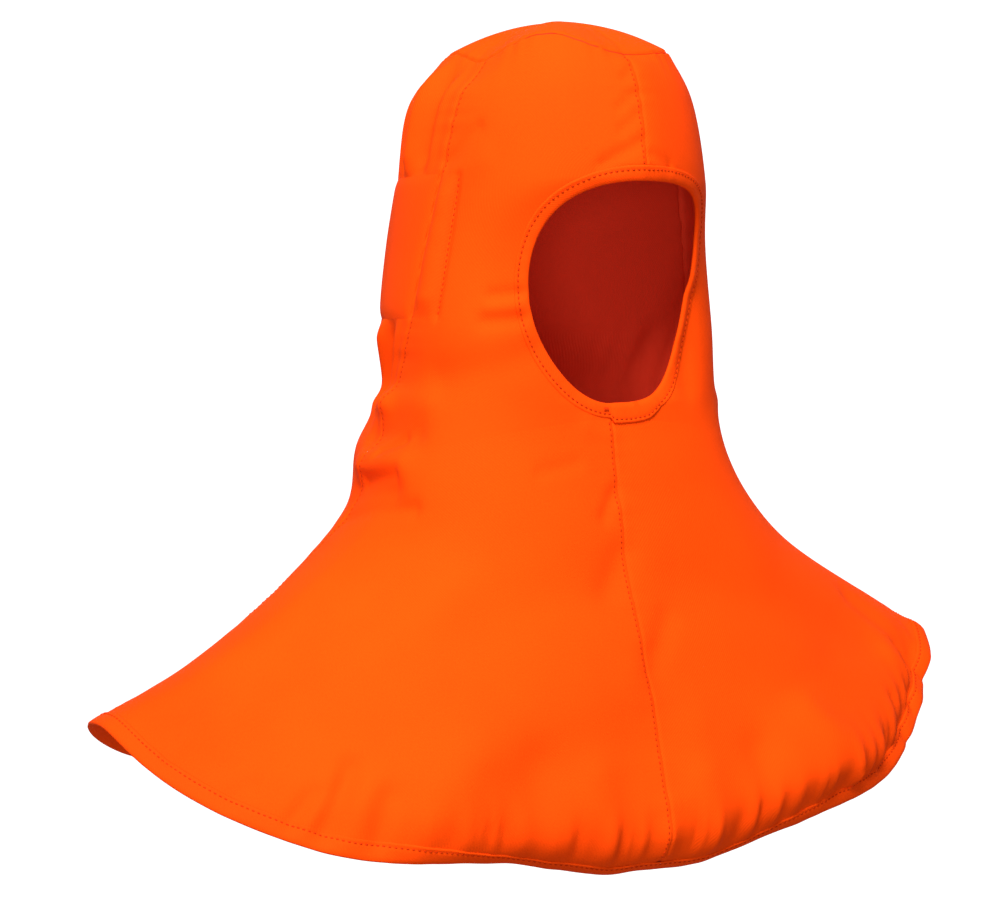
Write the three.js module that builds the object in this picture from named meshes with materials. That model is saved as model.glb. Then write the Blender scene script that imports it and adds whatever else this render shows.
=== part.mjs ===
import * as THREE from 'three';

// A flame-resistant hood: cloth panels round the head, a bound face opening and a wide shoulder cape.
// Millimetres, +Z up. The face looks along -Y and the wearer's right is -X.
// The origin is the head seat, the inside of the crown at its top.

// Cloth and tape
const WALL = 1.4;
const TAPE = 1.0;
const CLEARANCE = 0.4;

// Sections of the hood from the crown seam down to the hem.
// The four z columns are the heights at the front, at both sides and at the back. The next four are
// the reaches to the sides, front and back. mid is how far the side points lie behind the axis,
// square is the exponent of the front outline, and seam is the angle of the side-back seams.
const SECTION_COLUMNS = [
  'zFront', 'zRight', 'zLeft', 'zBack', 'right', 'left', 'front', 'back', 'mid', 'square', 'seam',
];
const SECTIONS = [
  [-20, -18, -18, -26, 65, 67, 90, 73, 0, 2.3, 66], // crown seam
  [-50, -50, -50, -54, 86, 85, 103, 101, 0, 2.2, 71], // brow
  [-96, -96, -96, -98, 93, 93, 111, 108, 0, 2.2, 77], // temple
  [-144, -144, -144, -146, 100, 103, 101, 117, 0, 2.2, 83], // ear
  [-192, -192, -192, -192, 106, 110, 88, 115, 0, 2.4, 88], // jaw
  [-240, -236, -236, -232, 105, 113, 76, 102, 0, 2.8, 100], // chin
  [-288, -278, -274, -264, 123, 121, 83, 129, 0, 2.8, 102], // neck
  [-346, -318, -308, -308, 135, 145, 99, 124, 0, 2.6, 108], // collar
  [-406, -360, -342, -368, 184, 184, 117, 134, 0, 2.3, 108], // shoulder
  [-464, -402, -376, -432, 246, 244, 136, 156, 4, 2.1, 108], // upper arm
  [-520, -432, -408, -514, 311, 310, 156, 178, 16, 2.0, 109], // hem
];
const HEM_ROW = SECTIONS.length - 1;
const SQUARE_BACK = 2.1;
// How round the hem's rise over each shoulder is, on the front and at the back
const SHOULDER_ROUND = { right: 0.12, left: 1.0, back: 0.4 };

// How much lower than its section the hem hangs along the front: angle and drop
const HEM_DROPS = [
  [-78, 5.4], [-68, 11.4], [-58, 12.4], [-48, 7.8], [-38, 8], [-28, 9.4], [-18, 4.1], [-8, 6.9], [2, 6.7],
  [12, 6.8], [20, 1.4], [29, 3.7], [38, 3.6], [48, 1.5], [58, 4.5], [68, 4.1], [78, 1.6],
];
const HEM_DROP = { width: 8, startRow: 8 };
// The hem rolls under along the front, fully between two angles and a little elsewhere.
// Towards the left tip the cloth also bulges out above the roll, and half of that is drawn back at the hem.
const HEM_ROLL = { depth: 27, rows: 0.62, power: 2.3, elsewhere: 0.1 };
const HEM_ROLL_ANGLES = { leftEnd: -102, left: -36, right: 34, rightEnd: 62 };
const HEM_BULGE = { angle: -56, width: 22, height: 20.6, startRow: 8.6, rows: 0.9, drawnBack: 0.5 };

// How much higher than its section the crown seam lies: angle and rise
const CROWN_RISES = [[32, 8], [0, -4], [72, -8]];
const CROWN_RISE = { width: 18, rows: 1.2 };

// Crown panel: a low dome on the crown seam
const CROWN_TOP = { z: WALL, y: -14, power: 2 };

// Face opening, in rows of the section table and degrees from the front. It hangs a little unevenly,
// so each side has its own widest row, and the left side leans towards the brow.
const FACE = { top: 2.14, bottom: 5.09 };
const FACE_RIGHT = { widest: 3.45, halfAngle: 39.8, roundTop: 2.1, roundBottom: 2, lean: 0 };
const FACE_LEFT = { widest: 4.25, halfAngle: 38.4, roundTop: 2.53, roundBottom: 3.4, lean: 0.4 };
const FACE_DRAW = { depth: 8.6, spread: 15 }; // the bound edge draws the cloth in
const FACE_TAPE_WIDTH = 8.5;
const HEM_TAPE_ROWS = 0.17;

// Back band with its padded ends on the side panels
const BAND = { topRow: 2.05, bottomRow: 3.95, wall: 1.6 };
const BAND_END = { width: 24, edge: 0.9, pad: 3.2 };

// Gathers of the back panel above and below the band, and long folds of the cape's back
const GATHERS = { waves: 7, height: 2.6, seamShare: 0.08, reach: 2, above: 1.1, below: 1.3 };
const BACK_FOLDS = { waves: 4, height: 5, startRow: 6.2 };

// Rows below the crown seam over which the folds come in
const FOLDS_START = 0.3;

// Soft folds: each is a ridge or valley between two points of the cloth
const FOLD_COLUMNS = ['angleA', 'rowA', 'angleB', 'rowB', 'width', 'height'];
const FOLDS = [
  [101, 5.2, 76, 5.1, 11, 3.5], // right side of the neck
  [104, 5.75, 78, 5.6, 10, -3.5],
  [105, 6.15, 80, 6.0, 11, 3.5],
  [107, 6.6, 82, 6.4, 10, -3],
  [-100, 5.3, -74, 5.2, 11, 3], // left side of the neck
  [-104, 5.8, -78, 5.7, 10, -3],
  [-106, 6.3, -80, 6.2, 11, 3],
  [78, 9.2, 8, 7.1, 26, -4], // chest, falling towards the right shoulder
  [62, 9.6, 10, 8.2, 24, 3.5],
  [-20, 7.2, -70, 9.0, 24, -4], // chest, falling towards the left shoulder
  [-16, 8.6, -52, 9.6, 22, 3.5],
  [52, 10, 46, 8.9, 18, 4], // waves at the hem
  [36, 10, 33, 8.9, 16, -4],
  [20, 10, 19, 9.0, 15, 4],
  [-14, 10, -12, 9.1, 15, 4],
  [-32, 10, -29, 9.0, 15, -4],
  [-50, 10, -45, 8.9, 16, 4],
  [-83, 9.85, -76, 10, 13, 5], // left tip
  [0, 0.5, 0, 1.9, 20, 4.5], // brow, along the centre front
];

// Mesh density
const FRONT_RAYS = { brow: 6, face: 16, chest: 9 };
const SEAM_RAYS = { brow: 8, band: 8, cape: 15 };
const SIDE_COLUMNS = 14;
const BACK_COLUMNS = 30;
const CROWN_RINGS = 4;
const HEM_CLOSENESS = 1.4; // how much closer together the rays lie towards the hem
const FACE_CLOSENESS = 1.35; // and towards the widest row of the face opening

const DEGREE = Math.PI / 180;
const ROW_HEIGHT = 36; // the cloth between the crown seam and the brow, for turning a gap into rows
const ORANGE = '#fc5e0e';

function lerp(a, b, t) {
  return a + (b - a) * t;
}

function smooth(t) {
  const c = Math.min(Math.max(t, 0), 1);
  return c * c * (3 - 2 * c);
}

// The section at any row, by a smooth curve through the rows of the table
function sectionAt(row) {
  const at = Math.min(Math.max(row, 0), HEM_ROW);
  const i = Math.min(Math.floor(at), HEM_ROW - 1);
  const f = at - i;
  const section = {};
  SECTION_COLUMNS.forEach((name, k) => {
    const b = SECTIONS[i][k];
    const c = SECTIONS[i + 1][k];
    const a = i > 0 ? SECTIONS[i - 1][k] : 2 * b - c;
    const d = i < HEM_ROW - 1 ? SECTIONS[i + 2][k] : 2 * c - b;
    const square = 2 * a - 5 * b + 4 * c - d;
    const cube = 3 * b - a - 3 * c + d;
    section[name] = 0.5 * (2 * b + (c - a) * f + square * f ** 2 + cube * f ** 3);
  });
  return section;
}

function bell(distance) {
  return Math.exp(-(distance ** 2));
}

function bells(angle, table, width) {
  return table.reduce((sum, [middle, height]) => sum + height * bell((angle - middle) / width), 0);
}

// How much higher the cloth lies near the crown seam, or lower near the hem
function edgeLift(angle, row) {
  const rise = bells(angle, CROWN_RISES, CROWN_RISE.width) * (1 - smooth(row / CROWN_RISE.rows));
  const nearHem = smooth((row - HEM_DROP.startRow) / (HEM_ROW - HEM_DROP.startRow));
  return rise - bells(angle, HEM_DROPS, HEM_DROP.width) * nearHem;
}

// How far the cloth near the hem lies inside its section
function hemRoll(angle, row) {
  const { leftEnd, left, right, rightEnd } = HEM_ROLL_ANGLES;
  const towardsLeft = smooth((angle - leftEnd) / (left - leftEnd));
  const towardsRight = smooth((rightEnd - angle) / (rightEnd - right));
  const bulge = HEM_BULGE.height * bell((angle - HEM_BULGE.angle) / HEM_BULGE.width);
  const share = Math.max(0, (row - HEM_ROW) / HEM_ROLL.rows + 1);
  const rise = smooth((row - HEM_BULGE.startRow) / HEM_BULGE.rows);
  const depth = HEM_ROLL.depth * lerp(HEM_ROLL.elsewhere, 1, towardsLeft * towardsRight);
  return (depth + HEM_BULGE.drawnBack * bulge) * share ** HEM_ROLL.power - bulge * rise;
}

// A point of the body cloth without folds. The angle is in degrees from the front, towards the right.
function body(angle, row) {
  const s = sectionAt(row);
  const ahead = -Math.cos(angle * DEGREE);
  const aside = -Math.sin(angle * DEGREE);
  const isFront = ahead <= 0;
  const isRight = aside <= 0;
  const half = isRight ? s.right : s.left;
  const zSide = isRight ? s.zRight : s.zLeft;
  const reach = isFront ? s.front + s.mid : s.back - s.mid;
  const zFar = isFront ? s.zFront : s.zBack;
  const power = isFront ? s.square : SQUARE_BACK;
  const sideRound = isRight ? SHOULDER_ROUND.right : SHOULDER_ROUND.left;
  const round = isFront ? sideRound : SHOULDER_ROUND.back;
  const full = (Math.abs(ahead / reach) ** power + Math.abs(aside / half) ** power) ** (-1 / power);
  const fall = (Math.hypot((ahead * full) / reach, round) - round) / (Math.hypot(1, round) - round);
  const turned = angle > 180 ? angle - 360 : angle;
  const radius = full - hemRoll(turned, row);
  const z = lerp(zSide, zFar, fall) + edgeLift(turned, row);
  return new THREE.Vector3(aside * radius, ahead * radius + s.mid, z);
}

// Rows below zero run over the crown: -1 is its middle and 0 the crown seam.
function plain(angle, row) {
  if (row >= 0) {
    return body(angle, row);
  }
  const rim = body(angle, 0);
  const share = 1 + row;
  const z = lerp(CROWN_TOP.z, rim.z, share ** CROWN_TOP.power);
  return new THREE.Vector3(rim.x * share, lerp(CROWN_TOP.y, rim.y, share), z);
}

function normalOf(surface, angle, row) {
  const stepAngle = 0.5;
  const stepRow = 0.01;
  const along = surface(angle + stepAngle, row).sub(surface(angle - stepAngle, row));
  const lower = Math.min(row + stepRow, HEM_ROW);
  const down = surface(angle, lower).sub(surface(angle, lower - 2 * stepRow));
  return along.cross(down).normalize();
}

// The sizes of the face opening on a side, 1 for the right and -1 for the left
function faceSide(side) {
  return side < 0 ? FACE_LEFT : FACE_RIGHT;
}

// How far a row lies from the opening's widest row, as a share of the way to its upper or lower end
function faceShare(row, side) {
  const { widest } = faceSide(side);
  return (row - widest) / (row < widest ? widest - FACE.top : FACE.bottom - widest);
}

// How much wider the opening is on a side than an upright one, more towards the brow
function faceLean(row, side) {
  const { widest, lean } = faceSide(side);
  const within = Math.min(Math.max(row, FACE.top), FACE.bottom);
  return 1 - (lean * (within - widest)) / (widest - FACE.top);
}

// The opening's angle on a side at a row, none above and below it
function faceAngle(row, side) {
  const { halfAngle, roundTop, roundBottom } = faceSide(side);
  const share = faceShare(row, side);
  const power = share < 0 ? roundTop : roundBottom;
  const far = Math.min(Math.abs(share), 1);
  return halfAngle * (1 - far ** power) ** (1 / power) * faceLean(row, side);
}

// A point of the opening's edge on a side: turn runs from 0 at the top to pi at the bottom
function faceEdge(turn, side) {
  const { widest, halfAngle, roundTop, roundBottom } = faceSide(side);
  const isUpper = turn < Math.PI / 2;
  const height = isUpper ? widest - FACE.top : FACE.bottom - widest;
  const power = 2 / (isUpper ? roundTop : roundBottom);
  const lift = Math.abs(Math.cos(turn)) ** power * height;
  const row = widest + (isUpper ? -lift : lift);
  const angle = halfAngle * Math.abs(Math.sin(turn)) ** power * faceLean(row, side);
  return { angle: side * angle, row };
}

const foldLines = FOLDS.map((values) => {
  const fold = Object.fromEntries(FOLD_COLUMNS.map((name, k) => [name, values[k]]));
  const line = new THREE.Line3(plain(fold.angleA, fold.rowA), plain(fold.angleB, fold.rowB));
  return { line, width: fold.width, height: fold.height };
});

function foldRelief(point) {
  const nearest = new THREE.Vector3();
  return foldLines.reduce((sum, { line, width, height }) => {
    line.closestPointToPoint(point, true, nearest);
    return sum + height * bell(nearest.distanceTo(point) / width);
  }, 0);
}

function faceRelief(angle, row) {
  const beside = (Math.abs(angle) - faceAngle(row, angle)) / FACE_DRAW.spread;
  return -FACE_DRAW.depth * Math.max(0, 1 - faceShare(row, angle) ** 2) * bell(beside);
}

// Share of the way across the back panel, from the right seam to the left one
function backShare(angle, row) {
  const seam = sectionAt(row).seam;
  return (angle - seam) / (360 - 2 * seam);
}

function backRelief(angle, row) {
  const across = backShare(angle, row);
  if (across <= 0 || across >= 1) {
    return 0;
  }
  const inside = smooth(Math.min(across, 1 - across) / GATHERS.seamShare);
  const above = row < BAND.topRow ? smooth((row - BAND.topRow + GATHERS.reach) / GATHERS.above) : 0;
  const below = row > BAND.bottomRow ? smooth((BAND.bottomRow + GATHERS.reach - row) / GATHERS.below) : 0;
  const gathers = GATHERS.height * (above + below) * Math.cos(2 * Math.PI * GATHERS.waves * across);
  const long = smooth((row - BACK_FOLDS.startRow) / (HEM_ROW - BACK_FOLDS.startRow));
  const folds = BACK_FOLDS.height * long * Math.cos(2 * Math.PI * BACK_FOLDS.waves * across);
  return inside * (gathers + folds);
}

// The outside of the cloth with its folds
function cloth(angle, row) {
  const point = plain(angle, row);
  if (row <= 0) {
    return point;
  }
  const turned = angle > 180 ? angle - 360 : angle;
  const settle = smooth(row / FOLDS_START);
  const relief = settle * (foldRelief(point) + faceRelief(turned, row) + backRelief(angle, row));
  return point.addScaledVector(normalOf(body, angle, row), relief);
}

// The cloth's outward direction; on the crown seam it is halfway between crown and panel.
function clothNormal(angle, row) {
  const seamReach = 0.03;
  if (row <= -1) {
    return new THREE.Vector3(0, 0, 1);
  }
  if (Math.abs(row) < seamReach) {
    const upper = normalOf(plain, angle, -2 * seamReach);
    return upper.add(normalOf(cloth, angle, 2 * seamReach)).normalize();
  }
  return normalOf(cloth, angle, row);
}

function vertex(angle, row) {
  return { angle, row, point: cloth(angle, row), normal: clothNormal(angle, row) };
}

// The angle that a length of cloth takes up at a place
function angleOf(length, angle, row) {
  const point = body(angle, row);
  return length / Math.hypot(point.x, point.y) / DEGREE;
}

// An angle part of the way between two, so that equal shares are about equal lengths of cloth
function angleBetween(first, last, share, row) {
  const s = sectionAt(row);
  const stretch = s.right / (s.front + s.mid);
  const turnOf = (angle) => Math.atan2(Math.sin(angle * DEGREE) / stretch, Math.cos(angle * DEGREE));
  const turn = lerp(turnOf(first), turnOf(last), share);
  return Math.atan2(Math.sin(turn) * stretch, Math.cos(turn)) / DEGREE;
}

// Turns down the opening's edge, closer together towards its widest row
function faceTurn(share) {
  const fromWidest = 2 * share - 1;
  return (Math.PI / 2) * (1 + Math.sign(fromWidest) * Math.abs(fromWidest) ** FACE_CLOSENESS);
}

// The place a tape's width away from the face opening's edge, square to the edge
function besideFace(turn, side) {
  const { angle, row } = faceEdge(turn, side);
  const step = 0.02;
  const before = faceEdge(Math.max(turn - step, 0), side);
  const after = faceEdge(Math.min(turn + step, Math.PI), side);
  const along = body(after.angle, after.row).sub(body(before.angle, before.row));
  const away = along.cross(normalOf(body, angle, row)).normalize().multiplyScalar(side);
  const perAngle = body(angle + step, row).sub(body(angle - step, row)).divideScalar(2 * step);
  const perRow = body(angle, row + step).sub(body(angle, row - step)).divideScalar(2 * step);
  const aa = perAngle.dot(perAngle);
  const ar = perAngle.dot(perRow);
  const rr = perRow.dot(perRow);
  const a = perAngle.dot(away) * FACE_TAPE_WIDTH;
  const r = perRow.dot(away) * FACE_TAPE_WIDTH;
  const scale = aa * rr - ar * ar;
  return { angle: angle + (a * rr - r * ar) / scale, row: row + (r * aa - a * ar) / scale };
}

// A row part of the way from one to the hem tape, in steps that grow smaller towards the tape
function rowTowardsHem(first, share) {
  return lerp(first, HEM_ROW - HEM_TAPE_ROWS, 1 - (1 - share) ** HEM_CLOSENESS);
}

// Rows where the rays of a side panel end on the side-back seam
function seamRows() {
  const rows = [CLEARANCE / 2 / ROW_HEIGHT];
  for (let k = 1; k <= SEAM_RAYS.brow; k += 1) {
    rows.push(lerp(0, BAND.topRow, k / SEAM_RAYS.brow));
  }
  for (let k = 1; k <= SEAM_RAYS.band; k += 1) {
    rows.push(lerp(BAND.topRow, BAND.bottomRow, k / SEAM_RAYS.band));
  }
  for (let k = 1; k <= SEAM_RAYS.cape; k += 1) {
    rows.push(rowTowardsHem(BAND.bottomRow, k / SEAM_RAYS.cape));
  }
  rows.push(HEM_ROW);
  return rows;
}

// Places where the rays of a side panel start: on the centre front, or a tape's width beside the face
function frontStarts(side) {
  const upperEnd = besideFace(0, side).row;
  const lowerEnd = besideFace(Math.PI, side).row;
  const starts = [];
  const centre = (row) => ({ angle: 0, row, turn: null });
  starts.push(centre(CLEARANCE / 2 / ROW_HEIGHT));
  for (let k = 1; k < FRONT_RAYS.brow; k += 1) {
    starts.push(centre((upperEnd * k) / FRONT_RAYS.brow));
  }
  for (let k = 0; k <= FRONT_RAYS.face; k += 1) {
    const turn = faceTurn(k / FRONT_RAYS.face);
    starts.push({ ...besideFace(turn, side), turn });
  }
  for (let k = 1; k <= FRONT_RAYS.chest; k += 1) {
    starts.push(centre(rowTowardsHem(lowerEnd, k / FRONT_RAYS.chest)));
  }
  starts.push(centre(HEM_ROW));
  return starts;
}

// The cloth is straight under the hem tape, so both ends of it there share one direction.
function straightenHem(rays) {
  const [inner, edge] = rays.slice(-2).map((ray) => ray.vertices);
  edge.forEach((v, k) => {
    const along = v.point.clone().sub(inner[k].point).normalize();
    const normal = v.normal.clone().add(inner[k].normal);
    normal.addScaledVector(along, -normal.dot(along)).normalize();
    v.normal = normal;
    inner[k].normal = normal;
  });
  return rays;
}

// Rays of a side panel from the front to the side-back seam. Where a ray starts at the face,
// its edge is the vertex on the opening itself.
function sideRays(side) {
  const ends = seamRows();
  const rays = frontStarts(side).map((start, i) => {
    const gap = angleOf(CLEARANCE / 2, 0, start.row);
    const first = side * Math.max(start.angle * side, gap);
    const seam = sectionAt(ends[i]).seam;
    const last = side * (seam - angleOf(CLEARANCE / 2, seam, ends[i]));
    const strip = last - side * angleOf(BAND_END.width, seam, ends[i]);
    const vertices = [];
    for (let k = 0; k < SIDE_COLUMNS; k += 1) {
      const share = k / (SIDE_COLUMNS - 1);
      const angle = angleBetween(first, strip, share, ends[i]);
      vertices.push(vertex(angle, lerp(start.row, ends[i], smooth(share))));
    }
    vertices.push(vertex(last, ends[i]));
    let edge = null;
    if (start.turn !== null) {
      const place = faceEdge(start.turn, side);
      edge = vertex(side * Math.max(place.angle * side, angleOf(CLEARANCE / 2, 0, place.row)), place.row);
    }
    return { edge, vertices };
  });
  return straightenHem(rays);
}

function backRays() {
  const rays = seamRows().map((row) => {
    const seam = sectionAt(row).seam;
    const first = seam + angleOf(CLEARANCE / 2, seam, row);
    const last = 360 - seam - angleOf(CLEARANCE / 2, -seam, row);
    const vertices = [];
    for (let k = 0; k <= BACK_COLUMNS; k += 1) {
      const fromBack = angleBetween(first - 180, last - 180, k / BACK_COLUMNS, row);
      vertices.push(vertex(fromBack + 180, row));
    }
    return { edge: null, vertices };
  });
  return straightenHem(rays);
}

// A mesh geometry from points and triangles, turned so that its faces point out
function closedGeometry(points, triangles) {
  const volume = triangles.reduce((sum, [a, b, c]) => {
    return sum + points[a].dot(new THREE.Vector3().crossVectors(points[b], points[c]));
  }, 0);
  const outward = volume > 0 ? triangles : triangles.map(([a, b, c]) => [a, c, b]);
  const geometry = new THREE.BufferGeometry();
  geometry.setFromPoints(points);
  geometry.setIndex(outward.flat());
  geometry.computeVertexNormals();
  return geometry;
}

// A sheet of cloth between two offsets from the skin, closed along its edges
function sheetGeometry(vertices, triangles, outside, inside) {
  const count = vertices.length;
  const at = (v, offset) => v.point.clone().addScaledVector(v.normal, offset);
  const points = [...vertices.map((v) => at(v, outside)), ...vertices.map((v) => at(v, inside))];
  const faces = triangles.flatMap(([a, b, c]) => [[a, b, c], [a + count, c + count, b + count]]);
  const directed = new Set(triangles.flatMap(([a, b, c]) => [`${a} ${b}`, `${b} ${c}`, `${c} ${a}`]));
  directed.forEach((key) => {
    const [a, b] = key.split(' ').map(Number);
    if (!directed.has(`${b} ${a}`)) {
      faces.push([b, a, a + count], [b, a + count, b + count]);
    }
  });
  return closedGeometry(points, faces);
}

// Vertices and triangles of a net of rays; the edge vertices, where rays have them, add one more column.
// The cells of the left side are split the other way, so that both sides are alike.
function net(rays, side) {
  const vertices = [];
  const number = new Map();
  const add = (v) => {
    number.set(v, vertices.length);
    vertices.push(v);
  };
  rays.forEach((ray) => {
    ray.vertices.forEach(add);
    if (ray.edge) {
      add(ray.edge);
    }
  });
  const triangles = [];
  const cell = (a, b, c, d, isTurned) => {
    const [p, q, r, s] = [a, b, c, d].map((v) => number.get(v));
    const halves = isTurned ? [[p, q, r], [q, s, r]] : [[p, q, s], [p, s, r]];
    triangles.push(...halves);
  };
  for (let i = 0; i + 1 < rays.length; i += 1) {
    const upper = rays[i];
    const lower = rays[i + 1];
    for (let k = 0; k + 1 < upper.vertices.length; k += 1) {
      cell(upper.vertices[k], upper.vertices[k + 1], lower.vertices[k], lower.vertices[k + 1], side < 0);
    }
    if (upper.edge && lower.edge) {
      cell(upper.edge, upper.vertices[0], lower.edge, lower.vertices[0], side > 0);
    }
  }
  return { vertices, triangles };
}

function panelGeometry(rays, side) {
  const { vertices, triangles } = net(rays, side);
  return sheetGeometry(vertices, triangles, 0, -WALL);
}

// A closed strip through sections that have the same number of points, as a ring or with flat ends.
// Cells are split from a point that isRoot says to the far point of the next section.
function stripGeometry(sections, isRing, isRoot) {
  const size = sections[0].length;
  const points = sections.flat();
  const triangles = [];
  const steps = isRing ? sections.length : sections.length - 1;
  for (let i = 0; i < steps; i += 1) {
    const here = i * size;
    const next = ((i + 1) % sections.length) * size;
    for (let k = 0; k < size; k += 1) {
      const after = (k + 1) % size;
      const [a, b, c, d] = [here + k, here + after, next + k, next + after];
      const halves = isRoot[k] ? [[a, b, d], [a, d, c]] : [[a, b, c], [b, d, c]];
      triangles.push(...halves);
    }
  }
  if (!isRing) {
    const last = (sections.length - 1) * size;
    for (let k = 1; k + 1 < size; k += 1) {
      triangles.push([0, k + 1, k], [last, last + k, last + k + 1]);
    }
  }
  return closedGeometry(points, triangles);
}

// A tape folded round a closed edge of the cloth. Each stop has its vertex on the edge and one
// that lies a tape's width in from it.
function foldedTapeGeometry(stops) {
  const near = CLEARANCE;
  const far = CLEARANCE + TAPE;
  const sections = stops.map(({ edge, inner }, i) => {
    const before = stops[(i + stops.length - 1) % stops.length].edge.point;
    const after = stops[(i + 1) % stops.length].edge.point;
    const along = after.clone().sub(before).normalize();
    const out = edge.point.clone().sub(inner.point);
    out.addScaledVector(along, -out.dot(along)).normalize();
    const legEnd = (offset) => inner.point.clone().addScaledVector(inner.normal, offset);
    const corner = (offset, reach) => {
      return edge.point.clone().addScaledVector(edge.normal, offset).addScaledVector(out, reach);
    };
    return [
      legEnd(far),
      corner(far, far),
      corner(-WALL - far, far),
      legEnd(-WALL - far),
      legEnd(-WALL - near),
      corner(-WALL - near, near),
      corner(near, near),
      legEnd(near),
    ];
  });
  const isRoot = [true, false, false, true, true, false, false, true];
  return stripGeometry(sections, true, isRoot);
}

function faceTapeGeometry(right, left) {
  const stopsOf = (rays) => {
    return rays.filter((ray) => ray.edge).map((ray) => ({ edge: ray.edge, inner: ray.vertices[0] }));
  };
  return foldedTapeGeometry([...stopsOf(right), ...stopsOf(left).reverse()]);
}

function hemTapeGeometry(right, back, left) {
  const stopsOf = (rays) => {
    const inner = rays[rays.length - 2].vertices;
    return rays[rays.length - 1].vertices.map((edge, k) => ({ edge, inner: inner[k] }));
  };
  return foldedTapeGeometry([...stopsOf(right), ...stopsOf(back), ...stopsOf(left).reverse()]);
}

function crownGeometry(right, back, left) {
  const rim = [...right[0].vertices, ...back[0].vertices, ...left[0].vertices.slice().reverse()];
  const rimShare = 1 - CLEARANCE / 2 / SECTIONS[0][SECTION_COLUMNS.indexOf('right')];
  const vertices = [vertex(0, -1)];
  const triangles = [];
  for (let ring = 1; ring <= CROWN_RINGS; ring += 1) {
    const row = (rimShare * ring) / CROWN_RINGS - 1;
    rim.forEach((v) => vertices.push(vertex(v.angle, row)));
  }
  const number = (ring, k) => 1 + (ring - 1) * rim.length + (k % rim.length);
  rim.forEach((v, k) => {
    triangles.push([0, number(1, k + 1), number(1, k)]);
    for (let ring = 1; ring < CROWN_RINGS; ring += 1) {
      const [a, b] = [number(ring, k), number(ring, k + 1)];
      const [c, d] = [number(ring + 1, k), number(ring + 1, k + 1)];
      triangles.push([a, b, d], [a, d, c]);
    }
  });
  return sheetGeometry(vertices, triangles, 0, -WALL);
}

const bandRays = [SEAM_RAYS.brow, SEAM_RAYS.brow + SEAM_RAYS.band];

function bandGeometry(back) {
  const { vertices, triangles } = net(back.slice(bandRays[0], bandRays[1] + 1), 1);
  return sheetGeometry(vertices, triangles, CLEARANCE + BAND.wall, CLEARANCE);
}

// The padded end of the band: a low rounded strip beside the side-back seam
function bandEndGeometry(rays, side) {
  const sections = rays.slice(bandRays[0], bandRays[1] + 1).map((ray) => {
    const atSeam = ray.vertices[SIDE_COLUMNS];
    const atFront = ray.vertices[SIDE_COLUMNS - 1];
    const at = (v, offset) => v.point.clone().addScaledVector(v.normal, offset);
    const ridge = at(atSeam, CLEARANCE + BAND_END.pad).lerp(at(atFront, CLEARANCE + BAND_END.pad), 0.5);
    return [
      at(atFront, CLEARANCE),
      at(atFront, CLEARANCE + BAND_END.edge),
      ridge,
      at(atSeam, CLEARANCE + BAND_END.edge),
      at(atSeam, CLEARANCE),
    ];
  });
  return stripGeometry(sections, false, [false, false, false, false, side < 0]);
}

const rightRays = sideRays(1);
const leftRays = sideRays(-1);
const backPanelRays = backRays();

const pieces = {
  right_panel: panelGeometry(rightRays, 1),
  left_panel: panelGeometry(leftRays, -1),
  back_panel: panelGeometry(backPanelRays, 1),
  crown_panel: crownGeometry(rightRays, backPanelRays, leftRays),
  back_band: bandGeometry(backPanelRays),
  band_end_right: bandEndGeometry(rightRays, 1),
  band_end_left: bandEndGeometry(leftRays, -1),
  face_binding: faceTapeGeometry(rightRays, leftRays),
  hem_binding: hemTapeGeometry(rightRays, backPanelRays, leftRays),
};

const hood = new THREE.Group();
hood.name = 'flame_resistant_hood';
Object.entries(pieces).forEach(([name, geometry]) => {
  const material = new THREE.MeshStandardMaterial({ color: ORANGE, roughness: 0.9, metalness: 0 });
  const mesh = new THREE.Mesh(geometry, material);
  mesh.name = name;
  hood.add(mesh);
});

export default hood;
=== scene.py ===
import math

import bpy
import numpy as np
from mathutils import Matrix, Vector


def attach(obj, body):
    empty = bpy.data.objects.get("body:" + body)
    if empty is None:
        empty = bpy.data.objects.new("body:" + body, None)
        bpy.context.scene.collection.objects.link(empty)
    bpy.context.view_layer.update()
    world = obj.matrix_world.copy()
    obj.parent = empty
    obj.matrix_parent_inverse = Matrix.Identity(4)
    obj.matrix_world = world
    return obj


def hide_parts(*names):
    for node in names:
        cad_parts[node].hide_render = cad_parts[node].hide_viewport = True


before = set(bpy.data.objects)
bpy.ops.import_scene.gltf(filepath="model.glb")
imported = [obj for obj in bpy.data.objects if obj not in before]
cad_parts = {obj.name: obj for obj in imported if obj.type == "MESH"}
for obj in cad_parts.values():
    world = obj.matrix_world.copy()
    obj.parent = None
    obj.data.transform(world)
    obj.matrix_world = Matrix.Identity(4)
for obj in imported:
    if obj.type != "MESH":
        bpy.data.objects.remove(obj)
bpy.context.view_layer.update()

# A flame-resistant hood: cloth panels round the head, a bound face opening and a wide shoulder cape.
# Shapes are worked out in millimetres, with the face towards -Y and the wearer's right towards -X.
MM = 0.001
DEGREE = math.pi / 180
WALL = 1.4
GAP = 0.08

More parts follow.
